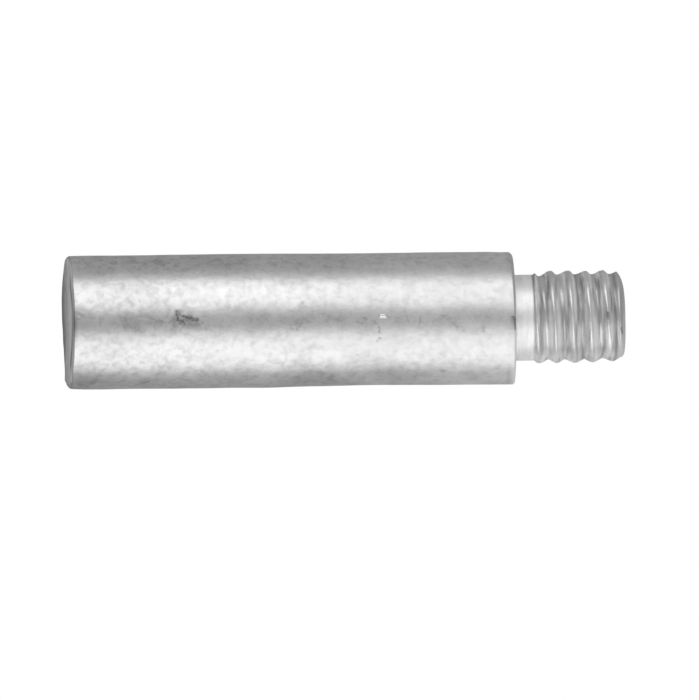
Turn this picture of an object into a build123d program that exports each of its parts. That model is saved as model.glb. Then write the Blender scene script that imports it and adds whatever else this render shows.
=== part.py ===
"""Pencil-type sacrificial anode.

A round zinc rod that is screwed by its stub into a plug, and corrodes in an engine's cooling
water in place of the metal around it. Rod, shoulder, neck and thread are one solid piece.

The frame: the rod stands on its flat end. The origin is the centre of that end, and +Z runs
along the axis towards the thread. Sizes are in millimetres.
"""

from build123d import *
from math import cos, radians, sin
import os

# The rod is from a common inch series: 3/8 in across and 1 1/4 in long, its stub 5/16 in.
body_diameter = 9.525
body_length = 31.75
base_edge_round = 0.4  # the flat end's rim
shoulder_edge_round = 0.3  # the rim round the stub

# The thread has one start, is right-hand, 20 to the inch, and is shallow and rounded.
thread_pitch = 1.27
crest_diameter = 6.57
thread_depth = 0.27
thread_start_angle = 222  # degrees from +X, where the ridge stands at its first section
sections_per_turn = 10

# The stub is a plain neck, then the thread. The neck is turned a little under the crests.
stub_length = 7.9375
neck_step = 0.21  # from the crests down to the neck
neck_length = 1.35  # from the shoulder to the first ridge
neck_root_round = 0.22  # in the corner between shoulder and neck

# Both ends of the ridge are cut off: in a steep rise from the neck, and down to a short land
# at the tip. The end is crowned, round a flat middle.
ridge_rise_length = 0.12
ridge_fall_length = 0.2
ridge_clearance = 0.1  # the cuts start this far outside the crest
land_step = 0.26  # from the crests down to the land
land_length = 0.1
crown_height = 0.42
crown_width = 0.9  # how far the crown reaches in from the land
crown_sweep = 90  # degrees, a quarter of an ellipse

body_radius = body_diameter / 2
crest_radius = crest_diameter / 2
neck_radius = crest_radius - neck_step
land_radius = crest_radius - land_step
cut_radius = crest_radius + ridge_clearance
flat_radius = land_radius - crown_width

thread_start = body_length + neck_length
tip = body_length + stub_length
crown_start = tip - crown_height
land_start = crown_start - land_length
fall_start = land_start - ridge_fall_length

# Each section across the thread is the same circle, set off centre, and the offset turns once
# in a pitch. That gives one rounded ridge and one rounded groove, between crest and root.
section_offset = thread_depth / 2
section_radius = crest_radius - section_offset
section_spacing = thread_pitch / sections_per_turn
section_turn = 360 / sections_per_turn
section_count = int((tip - thread_start) / section_spacing) + 2  # the last is past the tip

with BuildPart() as thread:
    for step in range(section_count):
        angle = radians(thread_start_angle + step * section_turn)
        with BuildSketch(Plane.XY.offset(thread_start + step * section_spacing)):
            with Locations((section_offset * cos(angle), section_offset * sin(angle))):
                Circle(section_radius)
    loft(ruled=True)

    with BuildSketch(Plane.XZ):
        with BuildLine():
            Polyline(
                (0, tip),
                (0, thread_start),
                (neck_radius, thread_start),
                (cut_radius, thread_start + ridge_rise_length),
                (cut_radius, fall_start),
                (land_radius, land_start),
                (land_radius, crown_start),
            )
            EllipticalCenterArc(
                (flat_radius, crown_start), crown_width, crown_height, arc_size=crown_sweep
            )
            Line((flat_radius, tip), (0, tip))
        make_face()
    revolve(axis=Axis.Z, mode=Mode.INTERSECT)

with BuildPart() as anode:
    Cylinder(body_radius, body_length, align=(Align.CENTER, Align.CENTER, Align.MIN))
    with BuildSketch(Plane.XY.offset(body_length)):
        Circle(neck_radius)
    extrude(amount=neck_length)
    fillet(anode.edges().filter_by_position(Axis.Z, 0, 0), base_edge_round)
    shoulder = anode.edges().filter_by_position(Axis.Z, body_length, body_length)
    fillet(shoulder.sort_by(SortBy.RADIUS).last, shoulder_edge_round)
    shoulder = anode.edges().filter_by_position(Axis.Z, body_length, body_length)
    fillet(shoulder.sort_by(SortBy.RADIUS).first, neck_root_round)
    add(thread.part)

anode.part.label = "anode"
os.makedirs("parts", exist_ok=True)
export_step(anode.part, "parts/anode.step")
print(f"anode: {anode.part.volume / 1000:.3f} cm3, {tip:.2f} mm tall")
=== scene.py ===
# %% [markdown]
# # A pencil anode in cast zinc
# The object is a round zinc rod, 9.5 mm across, with a short threaded stub. A boat engine's
# cooling water eats it in place of the engine. It stands on its flat end here, thread up.
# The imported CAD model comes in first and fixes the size, the place and the box that the
# dressed model has to stay in. Sizes are in millimetres until Blender gets them.

# %% Load the frame
import math

import bpy
import numpy as np
from mathutils import Matrix, Vector, noise


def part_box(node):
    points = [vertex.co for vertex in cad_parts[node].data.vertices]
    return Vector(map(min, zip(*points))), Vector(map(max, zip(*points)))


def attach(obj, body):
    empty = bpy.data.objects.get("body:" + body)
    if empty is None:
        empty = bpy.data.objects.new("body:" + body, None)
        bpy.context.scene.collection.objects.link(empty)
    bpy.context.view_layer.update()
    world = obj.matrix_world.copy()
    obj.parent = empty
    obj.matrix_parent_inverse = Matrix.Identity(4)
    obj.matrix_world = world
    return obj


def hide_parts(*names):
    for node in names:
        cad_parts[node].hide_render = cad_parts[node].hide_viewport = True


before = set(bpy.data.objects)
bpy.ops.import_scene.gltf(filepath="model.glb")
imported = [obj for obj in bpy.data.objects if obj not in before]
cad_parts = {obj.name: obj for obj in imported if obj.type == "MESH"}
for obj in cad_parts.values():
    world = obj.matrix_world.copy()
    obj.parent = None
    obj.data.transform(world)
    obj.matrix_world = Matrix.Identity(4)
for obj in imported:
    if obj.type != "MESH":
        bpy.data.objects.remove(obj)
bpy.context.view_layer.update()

MM = 0.001
BODY_RADIUS = 9.525 / 2
cad_low, cad_high = (np.array(corner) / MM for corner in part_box("anode"))
TIP = cad_high[2]
print(f"CAD box {cad_low.round(3)} to {cad_high.round(3)} mm")

# %% [markdown]
# ## The skin as one grid
# The real rod is one casting with one unbroken skin. The Screw modifier could spin such a
# shape from a profile, but the thread, the slight waist and the nicks make its radius change
# with the angle. So the skin is one grid: rows of rings from the middle of the flat end up
# to the middle of the tip. Each ring gets a radius and a height for every column. The
# columns are closer together at the front, where the casting has its small marks.

# %% Columns round the rod
FRONT = 270.0  # degrees from +X: the side with the marks
FRONT_HALF = 21.0  # the fine columns reach this far to each side of it
FINE_STEP, COARSE_STEP = 0.8, 1.9  # degrees between columns


def spaced(low, high, step):
    """Even values from low up to high, without high itself."""
    count = max(1, round((high - low) / step))
    return list(np.linspace(low, high, count, endpoint=False))


columns = spaced(FRONT - FRONT_HALF, FRONT + FRONT_HALF, FINE_STEP)
columns += spaced(FRONT + FRONT_HALF, FRONT + 360 - FRONT_HALF, COARSE_STEP)
angle = np.radians(np.array(columns))
print(len(columns), "columns")

# %% [markdown]
# ## Sides and soft steps
# The casting isn't the same all round: its two sides were worn and handled differently.
# Painted vertex groups could say where, but a formula is easier to repeat. The cosine of the
# angle says which side a column is on, and each change along the rod is a soft step or a
# bell between two heights. The shape and the finish both use them.

# %% Sides, steps and bells
side = np.cos(angle)  # +1 towards +X, -1 towards -X, 0 at the front and the back
plus, minus = np.clip(side, 0, 1), np.clip(-side, 0, 1)
on_plus, on_minus = plus ** 2, minus ** 2  # how much a column belongs to either side


def smooth(value, low, high):
    """A soft step from 0 at low to 1 at high."""
    share = np.clip((value - low) / (high - low), 0, 1)
    return share * share * (3 - 2 * share)


def stretch(value, start, full, fade, end):
    """1 between full and fade, with a soft step down to 0 at start and at end."""
    return smooth(value, start, full) * (1 - smooth(value, fade, end))


def bell(value, middle, wide):
    """1 at middle, and about a third at wide to either side of it."""
    return np.exp(-((value - middle) / wide) ** 2)


print("columns towards +X:", int((side > 0).sum()), "and towards -X:", int((side < 0).sum()))

# %% [markdown]
# ## The thread
# The stub's thread has 20 turns to the inch, so a pitch of 1.27 mm, and it is shallow and
# rounded, as if cast and then chased. A thread profile could be swept along a helix, but in
# the grid it is only a wave in the radius: its phase is the height less the angle's share of
# a pitch. A power on the wave broadens the crests. Towards -X the ridge leans to the tip,
# and it wanders from the true helix by up to a sixth of a millimetre.

# %% The thread's ridge
PITCH = 1.27
FIRST_CREST = 33.586  # its height on the +X side
POINTED = 0.97  # how near to a sharp ridge the front and the back come; 1 is sharp
turn = np.mod(angle / (2 * math.pi), 1)  # each column's share of a turn


def thread_phase(height):
    """How many pitches a point lies above the first crest."""
    drift = 0.17 * on_minus ** 2 - 0.09 * smooth(height, 35.6, 38.2) * on_minus
    drift = drift + on_plus * (0.16 * smooth(height, 37.7, 38.6) - 0.03)
    drift = drift - 0.11 * on_plus * bell(height, 35.3, 0.35)
    return (height - FIRST_CREST - drift) / PITCH - turn


def thread_ridge(phase):
    """The ridge, from 0 in the root to 1 on the crest."""
    wave = np.cos(2 * math.pi * phase)
    rounded = 0.5 + 0.5 * wave
    peaked = 0.5 + 0.5 * np.arcsin(POINTED * wave) / math.asin(POINTED)
    past_crest = np.mod(phase, 1)
    leaning = 1 - smooth(past_crest, 0.03, 0.33) + smooth(past_crest, 0.37, 0.98)
    neither = 1 - on_minus - on_plus
    return on_minus * leaning + on_plus * rounded ** 0.65 + neither * peaked ** 1.15


print("ridge at four phases:", [float(thread_ridge(p)[0].round(2)) for p in (0, 0.25, 0.5, 0.75)])

# %% [markdown]
# ## Wear and tool lines
# Crests stand out, so they wear first, by up to a tenth of a millimetre on the turns near
# the neck. The chasing tool left fine lines that run with the thread. A bump texture would
# have to be unrolled along the helix to draw them. Here the noise is read at the height less
# the thread's climb, so each line stays on its helix, and it moves the mesh itself.

# %% Worn crests and tool lines
CREST, ROOT = 3.268, 3.0  # radii
OFF_CENTRE = 0.034  # the thread sits this far towards -X of the rod's axis
LINE_SPACING, LINE_DEPTH = 0.2, 0.012
LINE_LOOP = 3  # a wider loop through the noise makes a line change more in a turn


def tool_lines(height):
    """Fine lines that follow the helix, as a value between about -0.5 and 0.5."""
    unwound = height - PITCH * turn
    return np.array([
        noise.noise(Vector((h / LINE_SPACING, LINE_LOOP * math.cos(a), LINE_LOOP * math.sin(a))))
        for h, a in zip(np.broadcast_to(unwound, angle.shape), angle)
    ])


def thread_wear(height):
    """How much lower the worn crests are."""
    worn = 0.10 * on_minus * (1 - smooth(height, 33.5, 34.4))
    worn = worn + 0.05 * on_plus * smooth(height, 36.6, 38.2)
    worn = worn + 0.04 * on_minus * stretch(height, 36.2, 36.7, 37.0, 37.4)
    return worn + 0.04 * on_plus * smooth(height, 38.2, 38.7)


def thread_radius(height):
    lines = LINE_DEPTH * tool_lines(height) * smooth(height, 33.1, 33.4)
    lines = lines * (1 - smooth(side, 0.9, 1))
    ridge = (CREST - ROOT) * thread_ridge(thread_phase(height))
    return ROOT + ridge - OFF_CENTRE * side - thread_wear(height) + lines


print("thread radius at 36 mm:", thread_radius(36.0).min().round(3), "to",
      thread_radius(36.0).max().round(3))

# %% [markdown]
# ## Where the thread starts and ends
# The ridge is cut off square at the neck, on a plane that isn't quite true, and it fades out
# at the tip. The tip is domed on one side and nearly square on the other. Boolean cuts could
# do both, but they leave ragged triangles. A soft step between two radii keeps the grid.

# %% The stub's radius
NECK = 3.044  # radius of the plain part
START_LENGTH = 0.16  # the ridge rises to its full height over this length


def stub_radius(height):
    """The plain neck, then the thread, then the land where it has faded out."""
    start = 33.16 + 0.02 * side - 0.10 * (1 - side ** 2)
    threaded = smooth(height, start, start + START_LENGTH)
    r = NECK + (thread_radius(height) - NECK) * threaded
    fade = smooth(height, 39.2 + 0.2 * side, 39.42 + 0.2 * side)
    land = 3.04 - 0.11 * side
    return r + (land - r) * fade


def dome(height):
    """How far the skin draws in where the tip rounds off."""
    tall = 0.55 - 0.15 * side
    inward = 1.50 - 1.05 * side
    up = np.clip((height - (TIP - tall)) / tall, 0, 1)
    return inward * (1 - np.sqrt(1 - up ** 2))


print("the dome draws in", dome(TIP).min().round(2), "to", dome(TIP).max().round(2), "mm")

# %% [markdown]
# ## Rings of the flat end
# The rod was sawn to length at its flat end and has a small round there. Its skin lies a few
# hundredths inside the nominal size, with a slight waist two thirds of the way up. A Bevel
# modifier could make the round, but its width changes with the angle, so each round is a
# quarter circle of rings. The flat face itself needs few rings.

# %% Flat end and rim
rows = []  # each is (radius per column, height per column)
whole = np.ones_like(angle)
base_round = 0.13 + 0.10 * side ** 2 + 0.04 * plus ** 4


def slimmer(height):
    """How far the rod's skin lies inside its nominal radius."""
    foot = 0.008 * (1 - smooth(height, 5, 8))
    foot = foot + 0.025 * (np.abs(side) + on_plus) * (1 - smooth(height, 0.1, 1.2))
    waist = 0.035 * bell(height, 21.6, 2.6 * math.sqrt(2)) * (1 + 0.6 * side)
    worn = 0.045 * on_minus * smooth(height, 29.8, 30.9)
    return 0.012 + foot + 0.038 * smooth(height, 13, 18) + waist + worn


def quarter(steps):
    """The angles of the rings in a quarter circle."""
    return [math.radians(step) for step in np.linspace(0, 90, steps)]


END_RINGS = (0.25, 0.9, 1.7, 2.3, 2.7, 3.0, 3.3, 3.6, 3.85, 4.1, 4.3, 4.45)
for r in END_RINGS:
    rows.append((r * whole, 0 * whole))
for a in quarter(8):
    rows.append((
        BODY_RADIUS - slimmer(0) - base_round + base_round * math.sin(a),
        base_round - base_round * math.cos(a),
    ))
print(len(rows), "rows up to the rod's side")

# %% [markdown]
# ## Rings of the rod's side
# The side is plain, so a ring every quarter of a millimetre does for most of it. Where it
# has marks the rings are two to four times as close, because a mark can only sink where
# there are points to move. A subdivision modifier would add points everywhere.

# %% The rod's side
body_heights = (
    spaced(0.4, 3.4, 0.2) + spaced(3.4, 6.5, 0.12) + spaced(6.5, 9.7, 0.07)
    + spaced(9.7, 15.4, 0.25) + spaced(15.4, 16.6, 0.12) + spaced(16.6, 21.3, 0.25)
    + spaced(21.3, 24.9, 0.07) + spaced(24.9, 30.8, 0.25) + spaced(30.8, 31.34, 0.09)
)
for h in body_heights:
    rows.append((BODY_RADIUS - slimmer(h), h * whole))
print(len(rows), "rows up to the shoulder")

# %% [markdown]
# ## Rings of the shoulder
# The shoulder seats against the plug that the anode screws into. Its edge is crisp, and a
# small fillet leads into the neck, so that the stub doesn't crack off there. Bevels could
# make both, but rings keep the grid whole.

# %% Shoulder and fillet
SHOULDER = 31.75
FILLET = 0.13
edge = 0.16 + 0.22 * on_minus
for a in quarter(8):
    rows.append((
        BODY_RADIUS - slimmer(SHOULDER) - edge + edge * math.cos(a),
        SHOULDER - edge + edge * math.sin(a),
    ))
for r in (4.1, 3.8, 3.5, 3.3):
    rows.append((r * whole, SHOULDER * whole))
for a in quarter(6):
    rows.append((
        (NECK + FILLET - FILLET * math.sin(a)) * whole,
        (SHOULDER + FILLET - FILLET * math.cos(a)) * whole,
    ))
print(len(rows), "rows up to the neck")

# %% [markdown]
# ## Rings of the stub
# A thread shows its profile at its outline, so it needs about two dozen rings to a pitch.
# Smooth shading could hide fewer, but not at the outline. The dome gets its rings closer
# together towards the top, where it turns most, and then they shrink to the tip's middle.

# %% Neck, thread and tip
DOME_FROM = 39.1
stub_heights = (
    spaced(31.95, 32.95, 0.12) + spaced(32.95, 33.5, 0.035) + spaced(33.5, DOME_FROM, 0.056)
)
for h in stub_heights:
    rows.append((stub_radius(h), h * whole))
for share in np.linspace(0, 1, 17)[:-1]:
    h = DOME_FROM + (TIP - DOME_FROM) * math.sin(share * math.pi / 2)
    rows.append((stub_radius(h) - dome(h), h * whole))
flat_top = stub_radius(TIP) - dome(TIP)
for share in (1.0, 0.97, 0.85, 0.65, 0.45, 0.25, 0.1):
    rows.append((flat_top * share, TIP * whole))
plain_radius = np.array([r for r, _ in rows])
plain_height = np.array([h for _, h in rows])
print("grid of", plain_radius.shape[0], "rows and", plain_radius.shape[1], "columns")

# %% [markdown]
# ## Nicks and pits
# The casting has a few small flaws at the front: a branching crack of dark pits, scratches,
# a blot by the shoulder and one on the last turn. They could be sculpted by hand, but a list
# can be read and changed. Each is a short stroke on the skin, given by its two ends in
# millimetres: round the rod from the front, and up from the flat end.

# %% The list of strokes
strokes = [  # round, up, round, up, half width, strength
    # the branching crack
    (-0.66, 7.51, -0.39, 7.53, 0.12, 0.85), (-0.46, 7.56, -0.20, 7.49, 0.10, 0.75),
    (-0.77, 7.65, -0.67, 7.79, 0.09, 0.4), (-0.60, 7.66, -0.41, 7.70, 0.10, 0.65),
    (-0.34, 7.98, -0.25, 8.24, 0.08, 0.8), (-0.24, 8.17, -0.28, 8.48, 0.12, 0.8),
    (-0.18, 8.41, -0.16, 8.63, 0.11, 0.7), (-0.14, 8.55, -0.16, 8.96, 0.08, 0.75),
    (-0.05, 7.63, -0.01, 7.97, 0.11, 0.75), (0.10, 7.71, 0.03, 7.85, 0.10, 0.6),
    (-0.27, 8.05, -0.11, 8.02, 0.08, 0.45), (0.17, 8.16, 0.25, 8.52, 0.18, 0.35),
    (0.03, 8.52, 0.14, 8.97, 0.18, 0.35), (0.30, 8.66, 0.34, 8.94, 0.12, 0.25),
    (0.03, 7.07, -0.01, 7.43, 0.10, 0.28), (-0.20, 7.38, 0.28, 7.38, 0.17, 0.32),
    (0.16, 8.12, 0.24, 8.95, 0.22, 0.34), (-0.09, 8.05, -0.09, 8.94, 0.10, 0.8),
    (-0.55, 7.49, -0.15, 7.54, 0.13, 0.8), (0.05, 7.72, 0.12, 7.98, 0.14, 0.75),
    (-0.35, 7.75, -0.28, 8.05, 0.10, 0.55),
    # the shoulder's edge, the last turn of the thread and the tip's rim
    (0.02, 31.56, 0.16, 31.60, 0.12, 1.0), (0.34, 31.65, 0.80, 31.66, 0.06, 0.8),
    (-0.42, 38.30, 0.08, 38.32, 0.12, 0.75), (-0.85, 38.18, 0.50, 38.42, 0.26, 0.24),
    (1.20, 39.32, 1.62, 39.35, 0.09, 0.8), (1.70, 39.38, 2.02, 39.41, 0.07, 0.85),
    # single pits and scratches along the rod
    (4.37, 26.34, 4.31, 26.55, 0.09, 0.4), (2.70, 20.30, 2.63, 20.49, 0.07, 0.3),
    (4.44, 29.92, 3.84, 30.52, 0.06, 0.25), (2.58, 29.30, 2.94, 29.63, 0.06, 0.25),
    (0.46, 29.22, 0.93, 29.33, 0.09, 0.3), (-0.17, 26.25, 0.01, 26.81, 0.10, 0.3),
    (0.27, 25.61, -0.03, 26.04, 0.07, 0.25), (0.22, 26.95, 0.72, 27.45, 0.09, 0.3),
    (0.30, 27.45, 0.94, 27.87, 0.07, 0.22), (-0.30, 20.66, -0.06, 20.80, 0.06, 0.35),
    (0.12, 20.23, 0.26, 20.52, 0.06, 0.3), (-0.08, 18.82, 0.10, 19.03, 0.06, 0.3),
    (-0.31, 23.78, 0.26, 23.88, 0.06, 0.2), (0.12, 24.55, 0.55, 24.59, 0.06, 0.2),
    (0.66, 15.99, 0.03, 16.42, 0.09, 0.3), (-0.11, 16.49, 0.18, 16.98, 0.09, 0.25),
    (-0.23, 18.40, 0.19, 17.97, 0.09, 0.25),
    (0.10, 6.69, 0.90, 6.69, 0.05, 0.14), (0.15, 7.10, 0.85, 7.10, 0.06, 0.15),
    (0.23, 9.56, 0.87, 9.58, 0.04, 0.2), (0.07, 9.30, 0.10, 9.34, 0.06, 0.4),
    (0.48, 21.82, 0.90, 21.84, 0.06, 0.6), (-0.02, 21.69, 0.33, 21.82, 0.05, 0.1),
    (1.35, 21.83, 1.40, 21.88, 0.06, 0.5), (1.67, 21.60, 1.49, 21.78, 0.04, 0.35),
    (0.09, 21.41, 0.27, 21.59, 0.09, 0.35), (-0.13, 24.71, 0.34, 24.70, 0.05, 0.3),
    (-0.12, 22.49, -0.09, 22.56, 0.06, 0.3), (-0.53, 23.63, -0.49, 23.67, 0.06, 0.3),
    (0.23, 15.92, -0.07, 16.42, 0.14, 0.25), (0.38, 15.57, 0.62, 15.64, 0.06, 0.22),
    (-0.46, 17.75, -0.43, 17.84, 0.06, 0.35), (-1.30, 16.34, -1.19, 16.48, 0.06, 0.3),
    (-0.62, 0.44, -0.36, 0.69, 0.09, 0.4), (-0.26, 0.38, -0.19, 0.52, 0.07, 0.3),
    (-0.22, 3.53, -0.13, 4.16, 0.18, 0.26), (-0.40, 4.81, -0.35, 5.51, 0.10, 0.25),
    (-0.31, 5.48, 0.08, 6.39, 0.06, 0.25), (0.10, 4.05, 0.38, 4.27, 0.08, 0.25),
    (0.10, 6.96, -0.06, 6.32, 0.06, 0.2),
]
print(len(strokes), "strokes")

# %% [markdown]
# ## Torn edges
# A pit in cast zinc has a torn edge, never a ruled one. Strokes drawn straight would look
# like pen lines. So noise with a grain of a sixth of a millimetre pushes each point of the
# grid a little to one side before it is compared with the strokes. On the tip's narrow rim
# it pushes less.

# %% Push the points about
TEAR_GRAIN, TEAR_SHIFT = 0.16, 0.055
girth = 2 * math.pi * BODY_RADIUS
around = BODY_RADIUS * (angle - math.radians(FRONT))
around = np.where(around > girth / 2, around - girth, around)
torn = np.array([
    [noise.noise(Vector((a / TEAR_GRAIN, h / TEAR_GRAIN, layer))) for layer in (0.0, 9.0, 18.0)]
    for a, h in zip(np.broadcast_to(around, plain_radius.shape).ravel(), plain_height.ravel())
]).reshape(plain_radius.shape + (3,))
torn = torn * (1 - 0.8 * smooth(plain_height, 38.9, 39.2))[..., None]
torn_around = around + TEAR_SHIFT * torn[..., 0]
torn_up = plain_height + TEAR_SHIFT * torn[..., 1]
print("points pushed by up to", np.abs(torn_around - around).max().round(3), "mm")

# %% [markdown]
# ## Strokes into the skin
# Each point takes the strongest stroke near it. The result, mark, sinks the mesh here by two
# hundredths of a millimetre, and later darkens the metal in the same places. An image could
# hold the marks, but it would only paint them. The one bright nick, where something knocked
# the rod, is a real dent with a sloping floor that catches the light.

# %% Sink the strokes and the nick
STROKE_DEPTH = 0.022
NICK = (-0.31, -0.09, 21.83, 22.31)  # round from and to, up from and to
NICK_DEPTH = 0.078
mark = np.zeros_like(plain_radius)
for a1, z1, a2, z2, half_width, strength in strokes:
    run, rise = a2 - a1, z2 - z1
    share = ((torn_around - a1) * run + (torn_up - z1) * rise) / (run ** 2 + rise ** 2)
    share = np.clip(share, 0, 1)
    gap = np.hypot(torn_around - a1 - share * run, torn_up - z1 - share * rise)
    stroke = strength * (1 - smooth(gap, 0.2 * half_width, 2.0 * half_width))
    mark = np.maximum(mark, stroke)
mark = mark * np.clip(0.9 + 0.9 * torn[..., 2], 0.3, 1.1)
on_shoulder = np.abs(plain_height - SHOULDER) < 0.01
mark = mark * np.where(on_shoulder, smooth(plain_radius, 4.2, 4.5), 1)
inside = (torn_around > NICK[0]) & (torn_around < NICK[1])
inside = inside & (plain_height > NICK[2]) & (plain_height < NICK[3])
nick = np.where(inside, NICK_DEPTH * (NICK[1] - torn_around) / (NICK[1] - NICK[0]), 0)
radius = plain_radius - STROKE_DEPTH * mark - nick
print("marked points:", int((mark > 0.1).sum()), "and in the nick:", int(inside.sum()))

# %% [markdown]
# ## The cast skin
# Zinc that froze in a mould is never quite true. A Displace modifier could roughen it, but
# it would also blur the thread. Two layers of noise move the skin by a few hundredths of a
# millimetre, mostly on the rod, which is enough to make the reflections waver.

# %% Waver of the skin
SKIN_DEEP = 0.012  # keeps the highest lumps inside the CAD model's box


def placed(radius, height):
    """The grid's points in space, row after row."""
    spots = np.stack([radius * np.cos(angle), radius * np.sin(angle), height], axis=-1)
    return spots.reshape(-1, 3)


def lumps(points, size, seed):
    """Soft noise whose lumps are about size millimetres across."""
    offset = Vector((seed * 7.1, seed * 3.7, seed * 1.3))
    return np.array([noise.noise(Vector(p) / size + offset) for p in points])


points = placed(radius, plain_height)
skin = -SKIN_DEEP - 0.020 * lumps(points, 3.0, 1) - 0.004 * lumps(points, 0.8, 2)
skin = skin.reshape(radius.shape) * (0.3 + stretch(plain_height, 0.3, 1.0, 31.0, 31.6))
radius = radius + skin * np.clip(radius / 2.5, 0, 1)
print("skin moved by", skin.min().round(3), "to", skin.max().round(3), "mm")

# %% [markdown]
# ## A saw cut that wavers
# The flat end was sawn about a degree out of true, and its edge wavers. A Boolean plane
# could cut it, but not with a wavering edge. So the rings near the end are lifted: by the
# tilt, and by two short tables of angle and height that are joined with straight lines, one
# for the back of the rim and one for its front.

# %% Flat end out of true
END_TILT = math.tan(math.radians(1.2))
END_LIFT = 0.085  # keeps the lowest point above the floor
back_waver = (  # degrees from the back, mm
    (-97, 0), (-86, -0.04), (-75, -0.06), (-64, -0.105), (-57, -0.041), (-46, 0.024),
    (-34, 0.050), (-25, 0.063), (-16, 0.045), (-7, 0.048), (2, 0.007), (11, -0.008),
    (20, -0.033), (29, -0.040), (39, -0.043), (51, -0.031), (65, -0.057), (75, -0.082),
    (90, -0.05), (110, 0),
)
front_waver = (  # degrees from the front, mm
    (-90, 0), (-60, -0.05), (-45, -0.11), (-33, -0.10), (-18, -0.075), (0, -0.10),
    (20, -0.10), (30, -0.10), (40, -0.12), (50, -0.13), (65, -0.07), (90, 0),
)


def waver(table, middle):
    """The table's height at every column, from its degrees round from middle."""
    degrees = np.degrees(angle) - middle
    return np.interp(np.where(degrees > 180, degrees - 360, degrees), *zip(*table))


sawn = waver(back_waver, FRONT - 180) + waver(front_waver, FRONT)
end_lift = END_TILT * (BODY_RADIUS - radius * np.sin(angle)) + END_LIFT
end_lift = end_lift + sawn * np.clip(radius / 4, 0, 1)
height = plain_height + end_lift * (1 - smooth(plain_height, 0.3, 5.0))
rim = height[len(END_RINGS)]
print("the sawn rim lies from", rim.min().round(3), "to", rim.max().round(3), "mm")

# %% [markdown]
# ## A stub that leans
# The shoulder isn't square to the rod, and the stub leans with it by up to 0.2 mm across its
# width, while the tip's front edge stands a little proud. Rotating the stub would break the
# skin, so its rings are lifted by amounts that grow softly from the rod's last millimetres.

# %% Shoulder and stub out of true
STUB_TILT = math.tan(math.radians(2.7))
TIP_DROP, TIP_PROUD = 0.108, 0.105
x, y = radius * np.cos(angle), radius * np.sin(angle)
level_tip = (0.34 + 0.66 * smooth(y, -0.7, 0.7)) * smooth(height, 38.3, TIP)
lean = STUB_TILT * y * (1 - level_tip) * smooth(height, 26.0, 31.4)
proud = TIP_PROUD * np.clip((0.6 - x) / 2.8, 0, 1) ** 1.5 * smooth(height, 38.2, 39.2)
shoulder_lean = (0.006 * x - 0.02) * stretch(height, 29.0, 31.4, 32.0, 33.0)
height = height + lean - TIP_DROP * smooth(height, 37.8, TIP) + proud + shoulder_lean
points = placed(radius, height)
print("highest point", points[:, 2].max().round(3), "mm")

# %% [markdown]
# ## From grid to mesh
# Neighbouring points of the grid make four-sided faces, and the last column joins the first.
# One point in the middle of each end closes the skin with a fan of triangles. A Fill would
# close it too, but with one many-sided face that shades badly.

# %% Faces and object
row_count, ring = plain_radius.shape
corner = np.arange(row_count * ring).reshape(row_count, ring)
after = np.roll(corner, -1, axis=1)
quads = np.stack([corner[:-1], after[:-1], after[1:], corner[1:]], axis=-1).reshape(-1, 4)
bottom, top = len(points), len(points) + 1
points = np.vstack([points, points[:ring].mean(axis=0), points[-ring:].mean(axis=0)])
faces = quads.tolist()
faces += [(bottom, int(b), int(a)) for a, b in zip(corner[0], after[0])]
faces += [(top, int(a), int(b)) for a, b in zip(corner[-1], after[-1])]

mesh = bpy.data.meshes.new("anode_skin")
mesh.from_pydata((points * MM).tolist(), [], faces)
mesh.update()
mesh.shade_smooth()
anode = bpy.data.objects.new("anode_skin", mesh)
bpy.context.scene.collection.objects.link(anode)
print(len(mesh.polygons), "faces,", sum(len(p.vertices) - 2 for p in mesh.polygons), "triangles")

# %% [markdown]
# ## Zones of the finish
# The rod was left as cast, its end was sawn, and the neck and the thread were turned and
# chased, so each has its own finish. Separate materials would meet in hard lines. Instead
# the one material reads soft weights that are stored with the mesh. They are worked out from
# the grid before it was bent, so that they follow the pieces.

# %% Zones
plain_x, plain_y = plain_radius * np.cos(angle), plain_radius * np.sin(angle)
across = side * np.clip(plain_radius / 2.9, 0, 1)  # like side, but 0 in the middle of the tip
on_face = 1 - smooth(plain_height, 0.05, 0.12)
on_body = stretch(plain_height, 0.3, 0.5, 31, 31.5)
on_neck = stretch(plain_height, 31.7, 31.8, 32.95, 33.15)
on_thread = smooth(plain_height, 32.95, 33.15)
shallow = (plain_radius - ROOT) / (CREST - ROOT)  # 0 in the thread's root, 1 on its crest
ridge = smooth(shallow, 0.65, 0.95)
for name, zone in (("face", on_face), ("body", on_body), ("neck", on_neck), ("thread", on_thread)):
    print(name, "covers", f"{np.broadcast_to(zone, plain_radius.shape).mean():.0%} of the points")

# %% [markdown]
# ## Chalk
# Zinc grows a pale, dull oxide where it is handled or left damp: on the neck, in the thread,
# over the front of the sawn face and along one side of the shoulder. A dirt mask from ambient
# occlusion would find hollows only, so chalk is drawn where it lies.

# %% Where the oxide is thick
chalk = (0.44 + 0.15 * side) * on_neck + on_thread * (0.44 - 0.26 * ridge + 0.12 * across)
chalk = chalk + on_face * 0.45 * (1 - smooth(plain_y, -3.8, 3.4))
up_the_rod = 0.07 * smooth(plain_height, 14, 24) + 0.20 * plus * smooth(plain_height, 24, 31)
chalk = chalk + on_body * up_the_rod
seat = smooth(plain_height, 31.45, 31.65) * (1 - on_neck) * (1 - on_thread)
chalk = chalk + 0.45 * seat * smooth(side, 0.02, 0.3)
print("chalk from", chalk.min().round(2), "to", chalk.max().round(2))
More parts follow.
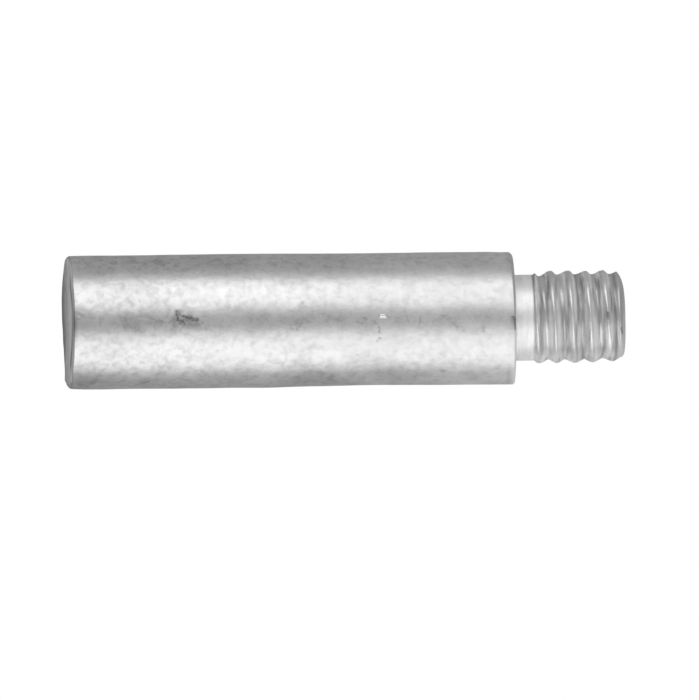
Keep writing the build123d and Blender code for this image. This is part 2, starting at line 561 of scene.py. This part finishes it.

# %% [markdown]
# ## Painted shade on the stub
# The stub is painted darker in the thread's roots, as painted shade, and in two narrow strips
# up the stub, as painted dark reflections. A painted shadow lies where the thread starts, and
# the last turn and the tip are simply darker. A pointiness mask needs a finer mesh than this,
# so all of it is worked out from the same rows as the shape.

# %% Painted shade on the stub
# painted shade in the thread's roots, weaker towards +X
root_shade = 0.34 * on_thread * (1 - smooth(shallow, 0.1, 0.6)) * (1 - smooth(plain_height, 38.9, 39.1))
root_shade = root_shade * (1.25 - 0.85 * smooth(across, 0.0, 0.35))
# painted dark reflections in two narrow strips up the stub
dark_reflection_bands = 0.11 * bell(side, -0.16, 0.14) + 0.14 * bell(side, 0.74, 0.09)
dark_reflection_bands = dark_reflection_bands * on_thread * (1 - smooth(plain_height, 39.0, 39.3))
# darker round the last turn and over the tip
last_turn = (0.24 - 0.12 * across) * smooth(plain_height, 38.5, 38.9)
last_turn = last_turn + 0.14 * smooth(plain_height, 38.8, 39.2)
# painted shadow on the -X side where the thread starts
start_shadow = 0.3 * bell(plain_height, 33.1, 0.09) * smooth(-side, 0.2, 0.8)
stub_darkening = root_shade + dark_reflection_bands + last_turn + start_shadow
print("dirt on the stub up to", stub_darkening.max().round(2))

# %% [markdown]
# ## Painted shade on the flat end
# The flat end is painted darker over the small round of its rim, most of all in a line at the
# front, and in a band just inside the front rim: painted shade. The face is painted darker
# towards the back, also painted shade. The rod's side is a little darker over its first 5 to
# 8 mm and between about 17 and 29 mm up. Two more materials could do this, but they would meet
# in hard lines. All of it joins the strokes in mark, where the stronger of the two counts.

# %% Painted shade on the flat end and tone of the side
# painted shade on the small round of the rim, darkest in a line at the front
rim_band = stretch(plain_height, 0.003, 0.02, 0.11, 0.16)
at_front = smooth(-plain_y, 0, 3)
front_rim_shade = 0.25 * (1 - smooth(np.abs(side), 0.6, 0.8)) + 0.54 * bell(plain_x, 0, 1.3)
end_shade = rim_band * (0.45 * (1 - at_front) + at_front * front_rim_shade)
# painted shade: the face darker towards the back
end_shade = end_shade + 0.75 * on_face * smooth(plain_y, 1.0, 4.7)
# painted shade: a dark band just inside the front rim
inner_rim_shade = on_face * bell(plain_radius, 4.0, 0.5) * smooth(-plain_y, 0.8, 2.2)
end_shade = end_shade + 0.9 * inner_rim_shade * (1 - 0.8 * smooth(np.abs(side), 0.72, 0.86))
# the side a little darker near the flat end and between about 17 and 29 mm up
tone = 0.06 * (1 - smooth(plain_height, 5, 8)) + 0.03 * stretch(plain_height, 17, 20, 26, 29)
mark = np.maximum(mark, stub_darkening + end_shade + on_body * tone)
print("dirt on the flat end up to", end_shade.max().round(2))

# %% [markdown]
# ## How strong the mottle is
# The metal froze in patches, and handling polished some sides more than others. One noise
# for the whole rod would look printed on, so two weights make the flecks and the broad
# clouds stronger along the front line and on the flanks, and a third sets the grey that they
# start from. The turned stub has the cleanest metal.

# %% Weights of the mottle and of the tool lines
front_line = bell(torn_around, 0, 0.75) * np.clip(plain_radius / 2.9, 0, 1) ** 2
flanks = np.minimum(across ** 4, 0.5)
flecks = 0.23 - 0.08 * smooth(plain_height, 7.5, 10) - 0.06 * smooth(plain_height, 17, 20)
flecks = flecks + 0.30 * front_line
flecks = flecks + 0.75 * flanks * (1 - 0.45 * smooth(np.abs(across), 0.88, 1.0))
clouds = 0.12 + 0.15 * front_line + (0.36 + 0.2 * across) * flanks
# on the thread's +X edge the grey drops further, so the metal is brighter: a painted reflection
grey = 0.5 - 0.35 * on_neck - on_thread * (0.2 + 0.27 * smooth(across, 0.7, 0.9))
tooled = on_thread * (1 - 0.8 * ridge) * (1.4 - 0.4 * smooth(across, -0.1, 0.3))
tooled = tooled * (1 - smooth(plain_height, 39.2, 39.6)) + 0.2 * on_neck
print("flecks up to", flecks.max().round(2), "and clouds up to", clouds.max().round(2))

# %% [markdown]
# ## Storing the weights
# Each weight becomes a point attribute of the mesh, one number to a point, which an
# Attribute node reads. Byte colours would round it to 256 steps. The two points in the
# middle of the ends take the mean of the ring round them.

# %% Point attributes
layers = {
    # besides the strokes and the tone, mark holds painted shade on the stub and the flat end
    "mark": mark,  # strokes, dirt and tone: darkens the metal
    "chalk": chalk,  # thick oxide: paler, rougher and less metallic
    "cut": on_face,  # the sawn face, with its streaks
    "thread": tooled,  # dark tool lines and a smoother finish
    "flecks": flecks,  # strength of the fine dark specks
    "clouds": clouds,  # strength of the broad patches
    # grey is lower on the neck, and on the thread's +X edge as a painted reflection
    "grey": grey,  # the mix of bright and dull metal that both start from
}
for name, values in layers.items():
    layer = mesh.attributes.new(name, "FLOAT", "POINT")
    values = np.broadcast_to(values, plain_radius.shape)
    ends = [values[0].mean(), values[-1].mean()]
    layer.data.foreach_set("value", np.append(values.ravel(), ends).astype(np.float32))
print("stored", ", ".join(layers))

# %% [markdown]
# ## Cast zinc
# Zinc cast in a mould is a pale grey metal. A thin skin of oxide makes it satin, not shiny,
# and it mottles, because the metal froze in patches. That gives the eye two soft bright
# bands with a cloudy, flecked grain in them. An image texture would need unwrapping and
# would repeat. Noise in the object's own space needs neither, and its grain has a real size.

# %% Helpers for colours and nodes
def linear(code):
    """An sRGB hex code as the linear colour that Blender works in."""
    values = [int(code[i:i + 2], 16) / 255 for i in (1, 3, 5)]
    return [v / 12.92 if v <= 0.04045 else ((v + 0.055) / 1.055) ** 2.4 for v in values] + [1.0]


def per_mm(size):
    """A texture scale whose pattern repeats about every size millimetres."""
    return 1 / (size * MM)


def add(tree, kind, settings=None, links=None, **properties):
    """Add a node with its properties, the values of its sockets and its links."""
    node = tree.nodes.new(kind)
    for name, value in properties.items():
        setattr(node, name, value)
    for name, value in (settings or {}).items():
        node.inputs[name].default_value = value
    for name, source in (links or {}).items():
        tree.links.new(source, node.inputs[name])
    return node


zinc = bpy.data.materials.new("cast_zinc")
zinc.use_nodes = True
tree = zinc.node_tree
shader = tree.nodes["Principled BSDF"]
mesh.materials.append(zinc)
print("material", zinc.name, "on", anode.name)

# %% [markdown]
# ## Patterns in the metal
# There are five patterns, each at its real size: patches where the metal froze together,
# lumps of the skin, the fine mottle of the grains, saw streaks across the flat end and tool
# lines round the stub. Wave textures look too even for the last two, so both are noise that
# is squeezed along its lines.

# %% Noise at real sizes
in_object = add(tree, "ShaderNodeTexCoord").outputs["Object"]
patch_noise = add(
    tree, "ShaderNodeTexNoise",
    {"Scale": per_mm(3.0), "Detail": 3.0, "Roughness": 0.6}, {"Vector": in_object},
)
lump_noise = add(
    tree, "ShaderNodeTexNoise",
    {"Scale": per_mm(0.9), "Detail": 4.0, "Roughness": 0.6}, {"Vector": in_object},
)
mottle_noise = add(
    tree, "ShaderNodeTexNoise",
    {"Scale": per_mm(0.55), "Detail": 3.0, "Roughness": 0.6, "Distortion": 0.4},
    {"Vector": in_object},
)
along_saw = add(
    tree, "ShaderNodeVectorMath", {1: (0.08, 1.0, 0.08)}, {0: in_object}, operation="MULTIPLY",
)
saw_noise = add(
    tree, "ShaderNodeTexNoise",
    {"Scale": per_mm(1.1), "Detail": 2.0}, {"Vector": along_saw.outputs[0]},
)
round_stub = add(
    tree, "ShaderNodeVectorMath", {1: (0.10, 0.10, 1.0)}, {0: in_object}, operation="MULTIPLY",
)
line_noise = add(
    tree, "ShaderNodeTexNoise",
    {"Scale": per_mm(0.32), "Detail": 3.0}, {"Vector": round_stub.outputs[0]},
)
weight = {
    name: add(tree, "ShaderNodeAttribute", attribute_name=name).outputs["Fac"] for name in layers
}
print(len(tree.nodes), "nodes so far")

# %% [markdown]
# ## Colour of the metal
# Clean zinc is nearly white, and its dull grains look a quarter darker. The flecks are
# skewed: mostly bright metal with fewer, darker specks. One Color Ramp could colour the
# noise, but it couldn't change its strength from place to place, so plain sums do that.

# %% Mottled metal
BRIGHT_ZINC, DULL_ZINC = "#F6F6F6", "#B8B8B8"
patches = add(
    tree, "ShaderNodeMapRange",
    {"From Min": 0.25, "From Max": 0.75, "To Min": -1.0, "To Max": 1.0},
    {"Value": patch_noise.outputs["Fac"]},
)
specks = add(
    tree, "ShaderNodeMapRange",
    {"From Min": 0.44, "From Max": 0.72, "To Min": -0.24, "To Max": 0.76},
    {"Value": mottle_noise.outputs["Fac"]},
)
specked = add(
    tree, "ShaderNodeMath",
    links={0: specks.outputs[0], 1: weight["flecks"], 2: weight["grey"]},
    operation="MULTIPLY_ADD",
)
dullness = add(
    tree, "ShaderNodeMath",
    links={0: patches.outputs[0], 1: weight["clouds"], 2: specked.outputs[0]},
    operation="MULTIPLY_ADD", use_clamp=True,
)
metal = add(
    tree, "ShaderNodeMix", {"A": linear(BRIGHT_ZINC), "B": linear(DULL_ZINC)},
    {"Factor": dullness.outputs[0]}, data_type="RGBA",
)
print("metal between", BRIGHT_ZINC, "and", DULL_ZINC)

# %% [markdown]
# ## What lies on the metal, and painted shade
# Oxide is paler than the dull grains, and a tool line shows grey where dirt has settled in it.
# The pits, the dirt and the painted shade in mark share one dark grey. Each is mixed over the
# last by its weight. Layered shaders could do the same, but mixing plain colours is quicker to
# render.

# %% Chalk, dirt and painted shade, and tool lines
OXIDE, DIRT_AND_SHADE, TOOL_LINE = "#EFEFEF", "#5A5A5A", "#8E8E8E"
chalked = add(
    tree, "ShaderNodeMix", {"B": linear(OXIDE)},
    {"Factor": weight["chalk"], "A": metal.outputs["Result"]}, data_type="RGBA",
)
# the dark grey over mark: pits, dirt and painted shade
soiled_and_shaded = add(
    tree, "ShaderNodeMix", {"B": linear(DIRT_AND_SHADE)},
    {"Factor": weight["mark"], "A": chalked.outputs["Result"]}, data_type="RGBA",
)
dark_lines = add(
    tree, "ShaderNodeMapRange",
    {"From Min": 0.44, "From Max": 0.66, "To Min": 0.0, "To Max": 0.8},
    {"Value": line_noise.outputs["Fac"]},
)
on_tooled = add(
    tree, "ShaderNodeMath", links={0: dark_lines.outputs[0], 1: weight["thread"]},
    operation="MULTIPLY",
)
lined = add(
    tree, "ShaderNodeMix", {"B": linear(TOOL_LINE)},
    {"Factor": on_tooled.outputs[0], "A": soiled_and_shaded.outputs["Result"]}, data_type="RGBA",
)
tree.links.new(lined.outputs["Result"], shader.inputs["Base Color"])
print("over it", OXIDE, "oxide,", DIRT_AND_SHADE, "dirt and", TOOL_LINE, "tool lines")

# %% [markdown]
# ## How metallic it is
# Metal is fully metallic, but the oxide on it isn't, so chalk takes some of the metallic
# value away. The saw left the flat end streaked with both. A Mix Shader of a metal and a
# plaster would look alike, but one shader exports better.

# %% Metallic
streaks = add(
    tree, "ShaderNodeMapRange",
    {"From Min": 0.3, "From Max": 0.7, "To Min": -0.16, "To Max": 0.16},
    {"Value": saw_noise.outputs["Fac"]},
)
on_cut = add(
    tree, "ShaderNodeMath", links={0: streaks.outputs[0], 1: weight["cut"]}, operation="MULTIPLY",
)
oxide = add(
    tree, "ShaderNodeMath", links={0: weight["chalk"], 1: on_cut.outputs[0]}, operation="ADD",
)
bare = add(
    tree, "ShaderNodeMath", {0: 1.0}, {1: oxide.outputs[0]}, operation="SUBTRACT", use_clamp=True,
)
tree.links.new(bare.outputs[0], shader.inputs["Metallic"])
print(len(tree.links), "links so far")

# %% [markdown]
# ## How smooth it is
# The roughness lies near 0.4, as on a casting from a smooth mould. The same mottle varies
# it, chalk is rougher, and the tooled thread is smoother. The skin's fine unevenness is too
# small for the mesh, so a Bump node draws it, a fiftieth of a millimetre deep.

# %% Roughness and bump
SATIN = (0.34, 0.44)
CHALK_ROUGHER, THREAD_SMOOTHER = 0.16, -0.10
SKIN_BUMP = 0.020 * MM
satin = add(
    tree, "ShaderNodeMapRange",
    {"From Min": 0.3, "From Max": 0.7, "To Min": SATIN[0], "To Max": SATIN[1]},
    {"Value": mottle_noise.outputs["Fac"]},
)
rougher = add(
    tree, "ShaderNodeMath", {1: CHALK_ROUGHER}, {0: weight["chalk"], 2: satin.outputs[0]},
    operation="MULTIPLY_ADD",
)
roughness = add(
    tree, "ShaderNodeMath", {1: THREAD_SMOOTHER}, {0: weight["thread"], 2: rougher.outputs[0]},
    operation="MULTIPLY_ADD",
)
tree.links.new(roughness.outputs[0], shader.inputs["Roughness"])
uneven = add(
    tree, "ShaderNodeBump", {"Strength": 1.0, "Distance": SKIN_BUMP},
    {"Height": lump_noise.outputs["Fac"]},
)
tree.links.new(uneven.outputs[0], shader.inputs["Normal"])
print(len(tree.nodes), "nodes in", zinc.name)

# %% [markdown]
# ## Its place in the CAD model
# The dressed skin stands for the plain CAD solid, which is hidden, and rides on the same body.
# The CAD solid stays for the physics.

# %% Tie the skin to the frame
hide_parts("anode")
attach(anode, "root")
print(anode.name, "replaces the plain anode")

# %% [markdown]
# ## Camera
# A long lens looks at the front from 1.8 m, from a little below the flat end's plane, so
# that the end shows as a thin ellipse. A Track To constraint would aim the camera, but it
# keeps the rod upright, and here the rod lies across the picture with its thread to the
# right, a little off level. So the camera's own right and up are written out.

# %% Camera
PICTURE = 700.0  # pixels along the picture's longer side
PX_PER_MM = 14.155
DISTANCE = 1800.0  # from the rod's axis
LOOK_UP = math.radians(4.94)
ROLL = math.radians(0.65)
AIM_Z, AIM_X = 20.09, 2.146
SENSOR = 36.0

camera_data = bpy.data.cameras.new("camera")
camera_data.sensor_width = SENSOR
camera_data.lens = PX_PER_MM * DISTANCE * SENSOR / PICTURE
camera_data.clip_start, camera_data.clip_end = 0.01, 10
camera = bpy.data.objects.new("camera", camera_data)
bpy.context.scene.collection.objects.link(camera)
bpy.context.scene.camera = camera
forward = Vector((0, math.cos(LOOK_UP), math.sin(LOOK_UP)))
level_right = Vector((0, -math.sin(LOOK_UP), math.cos(LOOK_UP)))
level_up = Vector((-1, 0, 0))
right = level_right * math.cos(ROLL) - level_up * math.sin(ROLL)
up = level_right * math.sin(ROLL) + level_up * math.cos(ROLL)
stand = (Vector((AIM_X, 0, AIM_Z)) - forward * DISTANCE) * MM
turned = Matrix((right, up, -forward)).transposed()
camera.matrix_world = Matrix.Translation(stand) @ turned.to_4x4()
print("camera", camera_data.lens, "mm lens at", [round(v, 3) for v in stand])

# %% [markdown]
# ## Soft boxes
# Small metal parts are lit with long soft boxes, because metal shows its lamps. One stands
# on each side of the lens, 0.3 m from the rod, and gives one of the two bright bands. A dim
# narrow one square to the side lifts that edge of the rod a little. Glowing planes could do
# the same, but area lights give less noise.

# %% Lamps
LAMP_DISTANCE = 300.0
LAMP_TALL = 270.0
LAMP_MIDDLE = 20.0  # height of its middle, level with the rod's


def soft_box(name, azimuth, wide, glow):
    """A lamp that faces the rod; glow is the light of each bit of its face."""
    data = bpy.data.lights.new(name, "AREA")
    data.shape = "RECTANGLE"
    data.size = wide * MM
    data.size_y = LAMP_TALL * MM
    data.energy = glow * math.pi * data.size * data.size_y
    lamp = bpy.data.objects.new(name, data)
    bpy.context.scene.collection.objects.link(lamp)
    a = math.radians(azimuth)
    outward = Vector((math.cos(a), math.sin(a), 0))
    lamp.location = outward * LAMP_DISTANCE * MM + Vector((0, 0, LAMP_MIDDLE * MM))
    lamp.rotation_euler = (-outward).to_track_quat("-Z", "Y").to_euler()
    lamp.visible_camera = False
    print(name, round(data.energy, 4), "W")


soft_box("soft_box_left", FRONT - 47.75, 310, 1.205)
soft_box("soft_box_right", FRONT + 51.75, 364, 1.135)
soft_box("soft_box_edge", FRONT + 90, 70, 0.55)

# %% [markdown]
# ## Grey flats
# Around a metal part stand grey flats, so that what lies between the lamps reflects grey and
# not white. They keep the middle of the rod and its edges darker, and darkest from below. A
# world texture could do it, but only flats can differ in height round the part. They glow
# plainly, and only reflections see them, so they neither light the floor nor hide it.

# %% Flats
FLAT_DISTANCE = 0.5  # m
FLAT_SIDES = 64
flat_ring = [
    (FLAT_DISTANCE * math.cos(2 * math.pi * i / FLAT_SIDES),
     FLAT_DISTANCE * math.sin(2 * math.pi * i / FLAT_SIDES))
    for i in range(FLAT_SIDES)
]


def grey_flat(name, low, high, glow):
    """A wall round the part from low to high, or a disc where they are the same."""
    verts = [(x, y, z) for z in (low, high) for x, y in flat_ring]
    nexts = [(i + 1) % FLAT_SIDES for i in range(FLAT_SIDES)]
    walls = [(i, n, FLAT_SIDES + n, FLAT_SIDES + i) for i, n in enumerate(nexts)]
    if low == high:
        verts, walls = verts[:FLAT_SIDES], [tuple(range(FLAT_SIDES))]
    flat_mesh = bpy.data.meshes.new(name)
    flat_mesh.from_pydata(verts, [], walls)
    card = bpy.data.objects.new(name, flat_mesh)
    bpy.context.scene.collection.objects.link(card)
    paint = bpy.data.materials.new(name)
    paint.use_nodes = True
    paint.node_tree.nodes.clear()
    light = add(paint.node_tree, "ShaderNodeEmission", {"Color": (glow, glow, glow, 1)})
    add(paint.node_tree, "ShaderNodeOutputMaterial", links={"Surface": light.outputs[0]})
    paint.cycles.emission_sampling = "NONE"
    flat_mesh.materials.append(paint)
    card.visible_camera = False
    card.visible_diffuse = False
    card.visible_shadow = False
    print(name, "from", low, "to", high, "m")


grey_flat("flat_high", 0.2, 0.5, 0.36)
grey_flat("flat_middle", -0.1, 0.2, 0.36)
grey_flat("flat_low", -0.45, -0.1, 0.28)
grey_flat("flat_above", 0.5, 0.5, 0.38)
grey_flat("flat_below", -0.45, -0.45, 0.18)

# %% [markdown]
# ## Floor
# The part stands on a plain pale floor that takes its shadow. The camera looks up at the
# flat end from just below the floor's plane, so the floor has to be clear from underneath:
# a Mix Shader chooses by Backfacing. The floor is left out of reflections, where it would
# hide the grey flats.

# %% Floor
FLOOR_HALF = 2.0  # m
FLOOR_DROP = 0.02 * MM  # a hair under the part, so that the two never flicker
floor_mesh = bpy.data.meshes.new("floor")
floor_corners = [(-1, -1), (1, -1), (1, 1), (-1, 1)]
floor_mesh.from_pydata(
    [(FLOOR_HALF * x, FLOOR_HALF * y, 0) for x, y in floor_corners], [], [(0, 1, 2, 3)]
)
floor = bpy.data.objects.new("floor", floor_mesh)
bpy.context.scene.collection.objects.link(floor)
floor.location.z = -FLOOR_DROP
floor.visible_glossy = False
floor.visible_diffuse = False
floor.visible_shadow = False
pale_floor = bpy.data.materials.new("pale_floor")
pale_floor.use_nodes = True
floor_tree = pale_floor.node_tree
floor_tree.nodes.clear()
facing = add(floor_tree, "ShaderNodeNewGeometry")
matt = add(floor_tree, "ShaderNodeBsdfDiffuse", {"Color": linear("#F4F4F4")})
clear = add(floor_tree, "ShaderNodeBsdfTransparent")
one_sided = add(
    floor_tree, "ShaderNodeMixShader",
    links={0: facing.outputs["Backfacing"], 1: matt.outputs[0], 2: clear.outputs[0]},
)
add(floor_tree, "ShaderNodeOutputMaterial", links={"Surface": one_sided.outputs[0]})
floor_mesh.materials.append(pale_floor)
print("floor", 2 * FLOOR_HALF, "m wide")

# %% [markdown]
# ## White world
# Behind everything the picture is plain white. Brighter lamps would bleach the part, so the
# world alone does it: Light Path tells it to be full white for what the camera and the
# reflections see, and three quarters of that where it only lights the surfaces.

# %% World
SEEN_WHITE, LIGHTING_WHITE = 1.0, 0.75
world = bpy.data.worlds.new("studio")
bpy.context.scene.world = world
world.use_nodes = True
world_tree = world.node_tree
world_tree.nodes.clear()
path = add(world_tree, "ShaderNodeLightPath")
direct = add(
    world_tree, "ShaderNodeMath",
    links={0: path.outputs["Is Camera Ray"], 1: path.outputs["Is Glossy Ray"]},
    operation="MAXIMUM",
)
seen = add(
    world_tree, "ShaderNodeMath",
    links={0: direct.outputs[0], 1: path.outputs["Is Transmission Ray"]}, operation="MAXIMUM",
)
strength = add(
    world_tree, "ShaderNodeMapRange", {"To Min": LIGHTING_WHITE, "To Max": SEEN_WHITE},
    {"Value": seen.outputs[0]},
)
sky = add(
    world_tree, "ShaderNodeBackground", {"Color": (1, 1, 1, 1)}, {"Strength": strength.outputs[0]},
)
add(world_tree, "ShaderNodeOutputWorld", links={"Surface": sky.outputs[0]})
world.cycles.sampling_method = "NONE"
bpy.context.scene.view_settings.view_transform = "Standard"
print("world", world.name, "with the", bpy.context.scene.view_settings.view_transform, "view")
